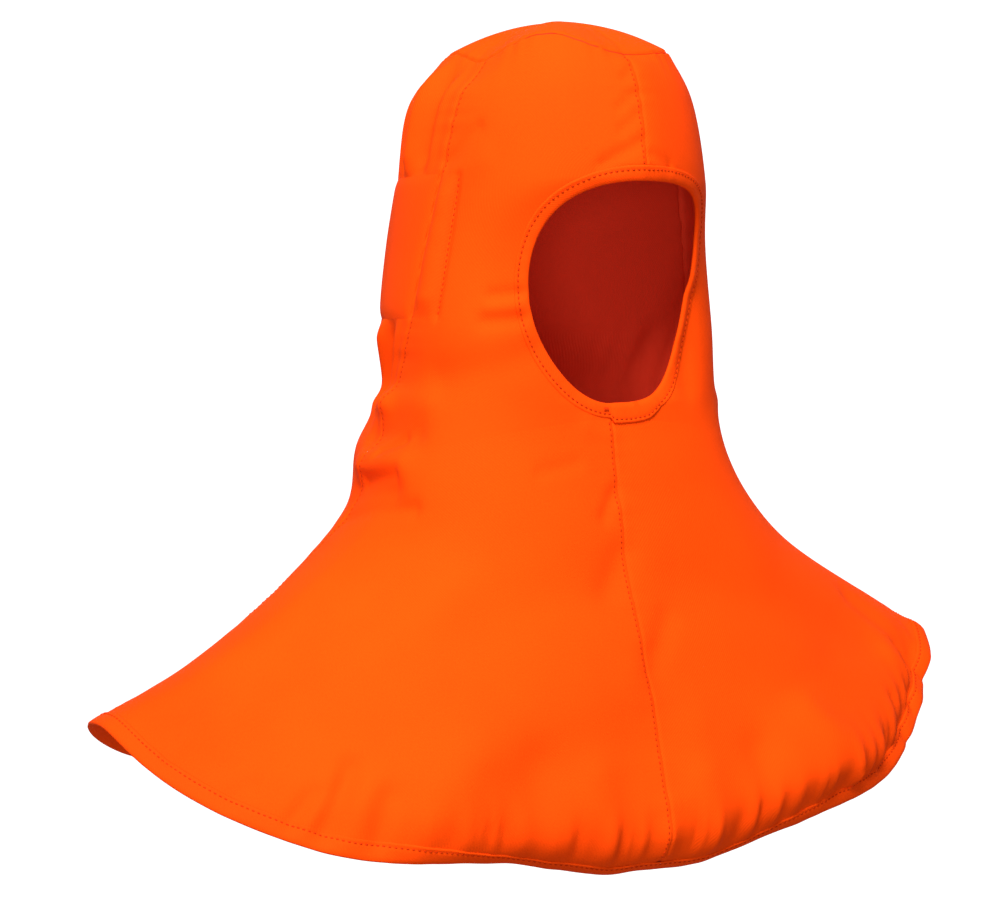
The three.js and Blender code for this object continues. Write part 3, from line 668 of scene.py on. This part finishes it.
def back_panel(name, material):
    points = cloth(*back_grid())
    uv = grid_uv(points)
    faces = outward(points.reshape(-1, 3), grid_faces(*points.shape[:2]))
    piece = add_piece(name, *shell(points.reshape(-1, 3), faces, uv.reshape(-1, 2), 0, -WALL), material)
    return mark_inside(piece)


def crown_panel(name, material):
    stops = CROWN_STOPS
    angle = np.linspace(0, 360, stops, endpoint=False)[None, :]
    reach = 1 - GAP / 2 / SECTIONS[0, RIGHT]
    inner = np.linspace(CROWN_HUB, reach - EDGE_STEPS[-1] / CROWN_REACH, CROWN_RINGS)
    rows = np.concatenate([inner, reach - EDGE_STEPS[-2::-1] / CROWN_REACH])[:, None] - 1
    points = cloth(angle + 0 * rows, rows + 0 * angle)
    uv = points[..., :2] * MM
    # The hub in the middle is closed with faces round one point
    flat = np.concatenate([points.reshape(-1, 3), points[0].mean(0)[None]])
    uv = np.concatenate([uv.reshape(-1, 2), uv[0].mean(0)[None]])
    faces = grid_faces(len(rows), stops, ring=True)
    k = np.arange(0, stops, 2)
    middle = np.stack([k, (k + 1) % stops, (k + 2) % stops, np.full(len(k), len(flat) - 1)], -1)
    faces = np.concatenate([faces, middle[:, ::-1]])
    faces = outward(flat, faces)
    return mark_inside(add_piece(name, *shell(flat, faces, uv, 0, -WALL), material))


# Tapes: height of the tape over the cloth at distances from the end of its leg
LEG = [(-0.4, 0.05), (0.0, 0.6), (0.7, 0.85), (1.6, 0.62), (2.3, 0.54), (3.0, 0.75), (4.6, 0.9)]
TAPE_EDGE = 0.85
FOLD_STEPS = np.radians([25, 60, 90, 120, 155])
TAPE_UNDER = 0.06
FACE_TAPE_INSET = 0.7
FACE_STOPS = 340
HEM_STOPS = 760
HEM_TAPE_WIDTH = 10.5
FACE_WAVE = {"height": 0.12, "pitch": 1.26}
HEM_WAVE = {"height": 0.15, "pitch": 1.1}


def tape_section(place, width, lift):
    """Points of a tape folded round an edge. place gives the cloth at a distance from the edge."""
    edge, edge_normal = place(0 * width)
    before, after = np.roll(edge, 1, 0), np.roll(edge, -1, 0)
    along = unit(after - before)
    inner, _ = place(width)
    out = edge - inner
    out = unit(out - np.sum(out * along, -1, keepdims=True) * along)
    ring = []
    legs = [(width - far, height) for far, height in LEG]
    legs += [(width * 0.2, np.full_like(width, TAPE_EDGE + 0.05))]
    for far, height in legs:
        point, normal = place(far)
        ring.append(point + normal * (height + lift)[:, None])
    middle = edge - edge_normal * WALL / 2
    for step in FOLD_STEPS:
        reach = WALL / 2 + TAPE_EDGE + lift * max(math.cos(step), 0)
        ring.append(middle + reach[:, None] * (math.cos(step) * edge_normal + math.sin(step) * out))
    for far, height in legs[::-1]:
        point, normal = place(far)
        ring.append(point - normal * (WALL + height + 0 * lift)[:, None])
    for far, side in ((width, -1), (0 * width, -1), (0 * width, 1), (width, 1)):
        point, normal = place(far)
        ring.append(point + normal * (TAPE_UNDER if side > 0 else -WALL - TAPE_UNDER))
    return np.stack(ring, 1)


def tape_piece(name, section, material):
    """A closed ring from the sections of a tape."""
    stops, size = section.shape[:2]
    i, k = np.meshgrid(np.arange(stops), np.arange(size), indexing="ij")
    after, right = (i + 1) % stops, (k + 1) % size
    faces = np.stack([i * size + k, i * size + right, after * size + right, after * size + k], -1)
    faces = faces.reshape(-1, 4)
    points = section.reshape(-1, 3)
    volume = np.sum(points[faces].mean(1) * face_normals(points, faces))
    if volume < 0:
        faces = faces[:, ::-1]
    length = lengths_along(section[:, 0])
    girth = lengths_along(section[0])
    uv = np.stack(np.broadcast_arrays(length[:, None], girth[None, :]), -1).reshape(-1, 2) * MM
    return add_piece(name, points, faces, uv, material)


def face_ring():
    """Turn and side of the stops round the face opening, down the right and up the left."""
    half = FACE_STOPS // 2
    shares = (np.arange(half) + 0.5) / half
    turns = np.concatenate([face_turns(1, shares), face_turns(-1, shares)[::-1]])
    sides = np.concatenate([np.ones(half), -np.ones(half)])
    return turns, sides


def lapped(turns, sides, ramp):
    """How far the stops lie under the lapped end of the binding, from 0 to 1."""
    return smooth((turns - LAP["from"]) / ramp) * (sides < 0)


def face_widths(turns, sides):
    """The binding is wider at the chin, where its end is lapped."""
    return FACE_TAPE_WIDTH - FACE_TAPE_INSET + LAP["wider"] * lapped(turns, sides, LAP["ramp"])


def face_place(turns, sides):
    def place(far):
        angle, row = beside_face(turns, sides, far)
        return soft_cloth(angle, row), normal_of(soft_cloth, angle, row)

    return place


def face_binding(name, material):
    turns, sides = face_ring()
    wave = FACE_WAVE["height"] * ripple(np.arange(FACE_STOPS) * FACE_WAVE["pitch"], 0.5)
    lift = LAP["lift"] * lapped(turns, sides, LAP["step"]) + wave
    section = tape_section(face_place(turns, sides), face_widths(turns, sides), lift)
    return tape_piece(name, section, material)


def hem_angles():
    """Angles of the stops round the hem, at equal lengths of cloth."""
    fine = np.linspace(0, 360, 2881)
    length = lengths_along(soft_cloth(fine, np.full(fine.shape, float(HEM_ROW))))
    return np.interp(np.linspace(0, length[-1], HEM_STOPS, endpoint=False), length, fine)


def hem_place(angles):
    rows = HEM_ROW - HEM_TAPE_ROWS
    top = soft_cloth(angles, np.full(angles.shape, rows))
    low = soft_cloth(angles, np.full(angles.shape, float(HEM_ROW)))
    per_mm = HEM_TAPE_ROWS / np.linalg.norm(top - low, axis=-1)

    def place(far):
        row = HEM_ROW - far * per_mm
        return soft_cloth(angles, row), normal_of(soft_cloth, angles, row)

    return place


def hem_binding(name, material):
    angles = hem_angles()
    width = np.full(HEM_STOPS, HEM_TAPE_WIDTH)
    wave = HEM_WAVE["height"] * ripple(np.arange(HEM_STOPS) * HEM_WAVE["pitch"], 0.9)
    return tape_piece(name, tape_section(hem_place(angles), width, wave), material)


# Back band and its padded ends
BAND_STEPS = np.array([0.0, 0.8, 2.2, 4.4, 7.4, 11.0])
BAND_RISE = np.array([0.04, 0.2, 0.45, 0.74, 0.93, 1.0])
BAND_COLUMNS, BAND_ROWS, BAND_END_COLUMNS = 130, 60, 22
BAND_CLEAR, BAND_END_CLEAR = 0.1, 0.12


def band_profile(count, length):
    """Shares across a band with rounded edges, and its height there."""
    edge = BAND_STEPS / length
    share = np.concatenate([edge, np.linspace(edge[-1], 1 - edge[-1], count)[1:-1], 1 - edge[::-1]])
    height = np.concatenate([BAND_RISE, np.ones(count - 2), BAND_RISE[::-1]])
    return share, height


def lifted_sheet(name, angle, row, height, material):
    """A sheet that lies on the cloth, with its own height at each place."""
    points = soft_cloth(angle, row)
    normals = normal_of(soft_cloth, angle, row)
    top = points + normals * height[..., None]
    under = points + normals * TAPE_UNDER
    uv = grid_uv(points).reshape(-1, 2)
    faces = outward(points.reshape(-1, 3), grid_faces(*points.shape[:2]))
    return add_piece(name, *closed_sheet(top.reshape(-1, 3), under.reshape(-1, 3), faces, uv), material)


def back_band(name, material):
    across, side_height = band_profile(BAND_COLUMNS, BAND_SIZE["length"])
    down, height = band_profile(BAND_ROWS, BAND_SIZE["height"])
    row = lerp(BAND["top"], BAND["bottom"], down)[:, None] + 0 * across
    seam = section_at(row)[..., SEAM]
    inset = angle_of(BAND_SIZE["inset"], seam, row)
    angle = lerp(seam + inset, 360 - seam - inset, across)
    thick = BAND["wall"] * np.minimum(height[:, None], side_height[None, :])
    return lifted_sheet(name, angle, row, BAND_CLEAR + thick, material)


def band_end(name, side, material):
    share = np.linspace(0, 1, BAND_END_COLUMNS)
    down, _ = band_profile(BAND_ROWS, BAND_SIZE["height"])
    row = lerp(BAND["top"], BAND["bottom"], down)[:, None] + 0 * share
    seam = section_at(row)[..., SEAM]
    width = angle_of(lerp(BAND_END["top_width"], BAND_END["width"], down)[:, None], seam, row)
    angle = side * (seam - angle_of(BAND_END["inset"], seam, row) - width * share)
    round_top = np.sin(math.pi * np.clip(share, 0.01, 0.99))
    puff = 1 + BAND_END["puff"] * ripple(row * 26, 2.0 + side)
    soft_ends = smooth(np.minimum(down, 1 - down) * BAND_SIZE["height"] / BAND_END["taper"])
    lift = BAND_END["pad"] * round_top[None, :] * soft_ends[:, None] * puff
    return lifted_sheet(name, angle, row, BAND_END_CLEAR + lift, material)


# Stitches, with the place, share of the radius and lift of each station along one
STITCH = {"pitch": 3.6, "length": 2.3, "radius": 0.42}
TACK = {"pitch": 3.2, "length": 2.9, "radius": 0.36, "half": 1.6}
STITCH_STATIONS = [
    (-1.0, 0.35, -0.45),
    (-0.6, 0.95, 0.02),
    (0.0, 1.0, 0.14),
    (0.6, 0.95, 0.02),
    (1.0, 0.35, -0.45),
]
STITCH_SIDES = 6
STITCH_FROM_SEAM = 2.6
STITCH_FROM_LEG = 2.3


def stitch_line(points, normals, stitch=STITCH):
    """Vertices and faces of a row of stitches along a line on the cloth."""
    far = lengths_along(points)
    count = max(int(far[-1] / stitch["pitch"]), 1)
    at = (np.arange(count) + 0.5) * far[-1] / count

    def along(values, where):
        return np.stack([np.interp(where, far, values[:, k]) for k in range(3)], -1)

    normal = unit(along(normals, at))
    rings = []
    turn = (np.arange(STITCH_SIDES) * 2 * math.pi / STITCH_SIDES)[None, :, None]
    for place, share, lift in STITCH_STATIONS:
        where = np.clip(at + place * stitch["length"] / 2, 0, far[-1])
        before, after = np.clip(where - 0.3, 0, far[-1]), np.clip(where + 0.3, 0, far[-1])
        tangent = unit(along(points, after) - along(points, before))
        across = unit(np.cross(normal, tangent))
        ring = along(points, where)[:, None] + normal[:, None] * lift
        round_it = np.cos(turn) * across[:, None] + np.sin(turn) * normal[:, None]
        rings.append(ring + stitch["radius"] * share * round_it)
    vertices = np.stack(rings, 1).reshape(-1, 3)
    size = len(STITCH_STATIONS) * STITCH_SIDES
    faces = []
    for i in range(count):
        base = i * size
        for j in range(len(STITCH_STATIONS) - 1):
            for k in range(STITCH_SIDES):
                a = base + j * STITCH_SIDES + k
                b = base + j * STITCH_SIDES + (k + 1) % STITCH_SIDES
                faces.append([a, a + STITCH_SIDES, b + STITCH_SIDES, b])
        faces.append([base + k for k in range(STITCH_SIDES)])
        faces.append([base + size - 1 - k for k in range(STITCH_SIDES)])
    return vertices, faces


def stitch_piece(name, lines, material):
    """One piece from several rows of stitches."""
    vertices, faces = [], []
    start = 0
    for points, faces_here in lines:
        vertices.append(points)
        faces += [[start + k for k in face] for face in faces_here]
        start += len(points)
    points = np.concatenate(vertices)
    return add_piece(name, points, faces, points[:, :2] * MM, material)


def cloth_line(angle, row, lift=0.0):
    """Points and directions of a line on the cloth, as a row of stitches."""
    angle, row = np.broadcast_arrays(np.asarray(angle, float), np.asarray(row, float))
    normal = normal_of(soft_cloth, angle, np.maximum(row, 0))
    return stitch_line(cloth(angle, row) + normal * lift, normal)


def ring_line(place, far, lift):
    """A row of stitches round a tape, back to its start."""
    point, normal = place(far)
    point = point + normal * lift
    return stitch_line(np.concatenate([point, point[:1]]), np.concatenate([normal, normal[:1]]))


def bar_tack(angle, row, along, across, count, lift):
    """A few close stitches side by side."""
    centre = soft_cloth(angle, row)
    normal = normal_of(soft_cloth, np.asarray(float(angle)), np.asarray(float(row)))
    side = unit(np.cross(normal, np.array(along, float)))
    forward = unit(np.cross(side, normal))
    lines = []
    for k in range(count):
        middle = centre + side * across * (k - (count - 1) / 2) + normal * lift
        ends = np.stack([middle - forward * TACK["half"], middle + forward * TACK["half"]])
        lines.append(stitch_line(ends, np.stack([normal, normal]), TACK))
    return lines


# Materials: the deeper red painted on the inside faces as painted shade, and the values of the patches in the
# dye, the threads and the twill
INSIDE_PAINTED_SHADE = (0.86, 0.050, 0.020)
PATCHES = {"Scale": 9, "Detail": 4}
THREADS = {"Scale": 700, "Detail": 2}
THREAD_SHARE = 0.45
DYE_RANGE = (0.5, 0.95)
WEAR = {"less": 0.08, "more": 0.06}
TWILL = {"Distortion": 0.6, "Detail": 1}
TWILL_BUMP = {"Strength": 0.35, "Distance": 0.2 * MM}
MATT = 0.02


def add_node(nodes, kind, values):
    """A shader node with values on its sockets."""
    node = nodes.new("ShaderNode" + kind)
    for socket, value in values.items():
        node.inputs[socket].default_value = value
    return node


def cloth_material(name, dark, light, weave, rough):
    """Twill cloth: diagonal ribs, uneven dye, and painted shade inside: a deeper red on the inside faces."""
    material = bpy.data.materials.new(name)
    material.use_nodes = True
    nodes, links = material.node_tree.nodes, material.node_tree.links
    shader = nodes["Principled BSDF"]
    shader.inputs["Specular IOR Level"].default_value = MATT
    place = nodes.new("ShaderNodeUVMap")
    place.uv_map = "cloth"
    where = nodes.new("ShaderNodeTexCoord")
    patches = add_node(nodes, "TexNoise", PATCHES)
    links.new(where.outputs["Object"], patches.inputs["Vector"])
    threads = add_node(nodes, "TexNoise", THREADS)
    links.new(place.outputs["UV"], threads.inputs["Vector"])
    mixed = add_node(nodes, "Math", {1: THREAD_SHARE})
    mixed.operation = "MULTIPLY_ADD"
    links.new(threads.outputs["Fac"], mixed.inputs[0])
    links.new(patches.outputs["Fac"], mixed.inputs[2])
    colour = nodes.new("ShaderNodeValToRGB")
    for stop, position, dye in zip(colour.color_ramp.elements, DYE_RANGE, (dark, light)):
        stop.position = position
        stop.color = (*dye, 1)
    links.new(mixed.outputs["Value"], colour.inputs["Fac"])
    inside = nodes.new("ShaderNodeAttribute")
    inside.attribute_name = "inside"
    # The inside faces get a deeper red: painted shade for the dim, red-bounced light inside the hood.
    sides = nodes.new("ShaderNodeMix")
    sides.data_type = "RGBA"
    sides.inputs["B"].default_value = (*INSIDE_PAINTED_SHADE, 1)
    links.new(inside.outputs["Fac"], sides.inputs["Factor"])
    links.new(colour.outputs["Color"], sides.inputs["A"])
    links.new(sides.outputs["Result"], shader.inputs["Base Color"])
    wear = add_node(nodes, "MapRange", {"To Min": rough - WEAR["less"], "To Max": rough + WEAR["more"]})
    links.new(patches.outputs["Fac"], wear.inputs["Value"])
    links.new(wear.outputs["Result"], shader.inputs["Roughness"])
    twill = add_node(nodes, "TexWave", {"Scale": weave, **TWILL})
    twill.wave_type = "BANDS"
    twill.bands_direction = "DIAGONAL"
    links.new(place.outputs["UV"], twill.inputs["Vector"])
    bump = add_node(nodes, "Bump", TWILL_BUMP)
    links.new(twill.outputs["Fac"], bump.inputs["Height"])
    links.new(bump.outputs["Normal"], shader.inputs["Normal"])
    return material


def plain_material(name, colour, roughness):
    material = bpy.data.materials.new(name)
    material.use_nodes = True
    shader = material.node_tree.nodes["Principled BSDF"]
    shader.inputs["Base Color"].default_value = (*colour, 1)
    shader.inputs["Roughness"].default_value = roughness
    shader.inputs["Specular IOR Level"].default_value = MATT
    shader.inputs["Emission Color"].default_value = (1, 1, 1, 1)
    shader.inputs["Emission Strength"].default_value = 0
    return material


hood_cloth = cloth_material("hood_cloth", (0.82, 0.052, 0.0016), (0.93, 0.065, 0.0020), 300, 0.82)
band_cloth = cloth_material("band_cloth", (0.81, 0.051, 0.0016), (0.92, 0.063, 0.0020), 260, 0.8)
tape_cloth = cloth_material("binding_tape", (0.82, 0.052, 0.0016), (0.93, 0.064, 0.0020), 340, 0.78)
thread = plain_material("thread", (0.52, 0.028, 0.002), 0.9)

# Pieces, each hung from the root, with the model's part of the same name hidden
pieces = {
    "right_panel": side_panel("right_panel", 1, hood_cloth),
    "left_panel": side_panel("left_panel", -1, hood_cloth),
    "back_panel": back_panel("back_panel", hood_cloth),
    "crown_panel": crown_panel("crown_panel", hood_cloth),
    "back_band": back_band("back_band", band_cloth),
    "band_end_right": band_end("band_end_right", 1, band_cloth),
    "band_end_left": band_end("band_end_left", -1, band_cloth),
    "face_binding": face_binding("face_binding", tape_cloth),
    "hem_binding": hem_binding("hem_binding", tape_cloth),
}
for name, piece in pieces.items():
    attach(piece, "root")
    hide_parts(name)

# Rows of stitches
FACE_STITCH_LIFT, HEM_STITCH_LIFT, SEAM_STITCH_LIFT, BAND_STITCH_LIFT = 0.85, 0.62, -0.15, 0.1
CHIN_TACK = {"angle": 3.5, "row": 5.14, "along": (0, 0, 1), "across": 0.9, "count": 4, "lift": 1.2}
turns, sides = face_ring()
over_lap = LAP["stitch_lift"] * lapped(turns, sides, LAP["step"])[:, None]
face_far = face_widths(turns, sides) - STITCH_FROM_LEG
face_rows = [ring_line(face_place(turns, sides), face_far, FACE_STITCH_LIFT + over_lap)]
face_rows += bar_tack(**CHIN_TACK)
hem_far = np.full(HEM_STOPS, HEM_TAPE_WIDTH - STITCH_FROM_LEG)
hem_row = [ring_line(hem_place(hem_angles()), hem_far, HEM_STITCH_LIFT)]


def beside_seam(rows, far, side):
    """Angles at a distance in front of a side seam."""
    seam = section_at(rows)[..., SEAM]
    return side * (seam - angle_of(far, seam, rows))


brow_rows = np.linspace(0.12, 1.98, 60)
chest_rows = np.linspace(5.3, 9.82, 160)
side_rows = np.linspace(0.1, 9.82, 260)
band_rows = np.linspace(BAND["top"] + 0.05, BAND["bottom"] - 0.05, 60)
band_far = lerp(BAND_END["top_width"], BAND_END["width"], np.linspace(0.03, 0.97, 60)) + STITCH_FROM_SEAM
front_rows = [
    cloth_line(angle_of(STITCH_FROM_SEAM, 0 * rows, rows), rows)
    for rows in (brow_rows, chest_rows)
]
seam_lines = [
    cloth_line(beside_seam(side_rows, STITCH_FROM_SEAM, side), side_rows, SEAM_STITCH_LIFT)
    for side in (1, -1)
]
band_lines = [
    cloth_line(beside_seam(band_rows, band_far, side), band_rows, BAND_STITCH_LIFT)
    for side in (1, -1)
]
stitched = {
    "face_stitches": ("face_binding", face_rows),
    "hem_stitches": ("hem_binding", hem_row),
    "front_stitches": ("right_panel", front_rows),
    "seam_stitches": ("back_panel", seam_lines),
    "band_stitches": ("back_band", band_lines),
}
for name, (on, lines) in stitched.items():
    row = stitch_piece(name, lines, thread)
    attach(row, "root")

# Stage: a pale floor and a bright wall round it, which glows most behind the hood
FLOOR_Z = -1.75
WALL_RADIUS = 4.2
WALL_TOP = 3.0
WALL_STOPS = 96
AZIMUTH = -32 * DEGREE
GLOW = {"front": 0.1, "behind": 1.0, "power": 3}
AMBIENT = 0.12
LIT_POINT = (0, 0, -0.25)


def add_stage(name, vertices, faces, material):
    mesh = bpy.data.meshes.new(name)
    mesh.from_pydata(vertices, [], faces)
    mesh.polygons.foreach_set("use_smooth", np.ones(len(mesh.polygons), bool))
    mesh.materials.append(material)
    thing = bpy.data.objects.new(name, mesh)
    bpy.context.scene.collection.objects.link(thing)
    return mesh


around = np.linspace(0, 2 * math.pi, WALL_STOPS, endpoint=False)
rim = WALL_RADIUS * np.stack([np.cos(around), np.sin(around)], -1)
floor = plain_material("floor", (0.32, 0.32, 0.32), 0.9)
add_stage("floor", [(x, y, FLOOR_Z) for x, y in rim], [list(range(WALL_STOPS))], floor)
wall_points = [(x, y, z) for z in (FLOOR_Z, WALL_TOP) for x, y in rim]
following = [(k + 1) % WALL_STOPS for k in range(WALL_STOPS)]
wall_faces = [(k, after, WALL_STOPS + after, WALL_STOPS + k) for k, after in enumerate(following)]
backdrop = plain_material("backdrop", (0.3, 0.3, 0.3), 0.9)
wall = add_stage("backdrop", wall_points, wall_faces, backdrop)
glow = lerp(GLOW["front"], GLOW["behind"], (0.5 + 0.5 * np.sin(around - AZIMUTH)) ** GLOW["power"])
wall.attributes.new("glow", "FLOAT", "POINT").data.foreach_set("value", np.tile(glow, 2))
strength = backdrop.node_tree.nodes.new("ShaderNodeAttribute")
strength.attribute_name = "glow"
backdrop_shader = backdrop.node_tree.nodes["Principled BSDF"]
backdrop.node_tree.links.new(strength.outputs["Fac"], backdrop_shader.inputs["Emission Strength"])

world = bpy.data.worlds.new("studio")
world.use_nodes = True
world.node_tree.nodes["Background"].inputs["Color"].default_value = (1, 1, 1, 1)
world.node_tree.nodes["Background"].inputs["Strength"].default_value = AMBIENT
bpy.context.scene.world = world


def add_light(name, place, size, power):
    data = bpy.data.lights.new(name, "AREA")
    data.shape = "DISK"
    data.size = size
    data.energy = power
    lamp = bpy.data.objects.new(name, data)
    lamp.location = place
    lamp.rotation_mode = "QUATERNION"
    lamp.rotation_quaternion = (Vector(LIT_POINT) - Vector(place)).to_track_quat("-Z", "Y")
    bpy.context.scene.collection.objects.link(lamp)


add_light("key", (-1.49, -1.66, 1.76), 1.5, 146)
add_light("top", (-0.32, -1.18, 2.49), 1.2, 26)
add_light("fill", (-1.69, -2.71, -0.42), 1.0, 24)

# Camera: its height angle, its distance, and the pixel and size of a pixel at the point that it turns about
ELEVATION = 3.4 * DEGREE
DISTANCE = 1.6
PIVOT = Vector((0, 0, -0.27))
SCALE = 0.66 * MM
PICTURE = (995, 920)
PIVOT_AT = (548, 440)
back = Vector((
    math.sin(AZIMUTH) * math.cos(ELEVATION),
    -math.cos(AZIMUTH) * math.cos(ELEVATION),
    math.sin(ELEVATION),
))
lens = bpy.data.cameras.new("camera")
lens.sensor_width = 36
lens.lens = lens.sensor_width * DISTANCE / (PICTURE[0] * SCALE)
lens.shift_x = (PICTURE[0] / 2 - PIVOT_AT[0]) / PICTURE[0]
lens.shift_y = (PIVOT_AT[1] - PICTURE[1] / 2) / PICTURE[0]
camera = bpy.data.objects.new("camera", lens)
camera.location = PIVOT + back * DISTANCE
camera.rotation_mode = "QUATERNION"
camera.rotation_quaternion = (-back).to_track_quat("-Z", "Y")
bpy.context.scene.collection.objects.link(camera)
bpy.context.scene.camera = camera
bpy.context.scene.view_settings.view_transform = "Standard"
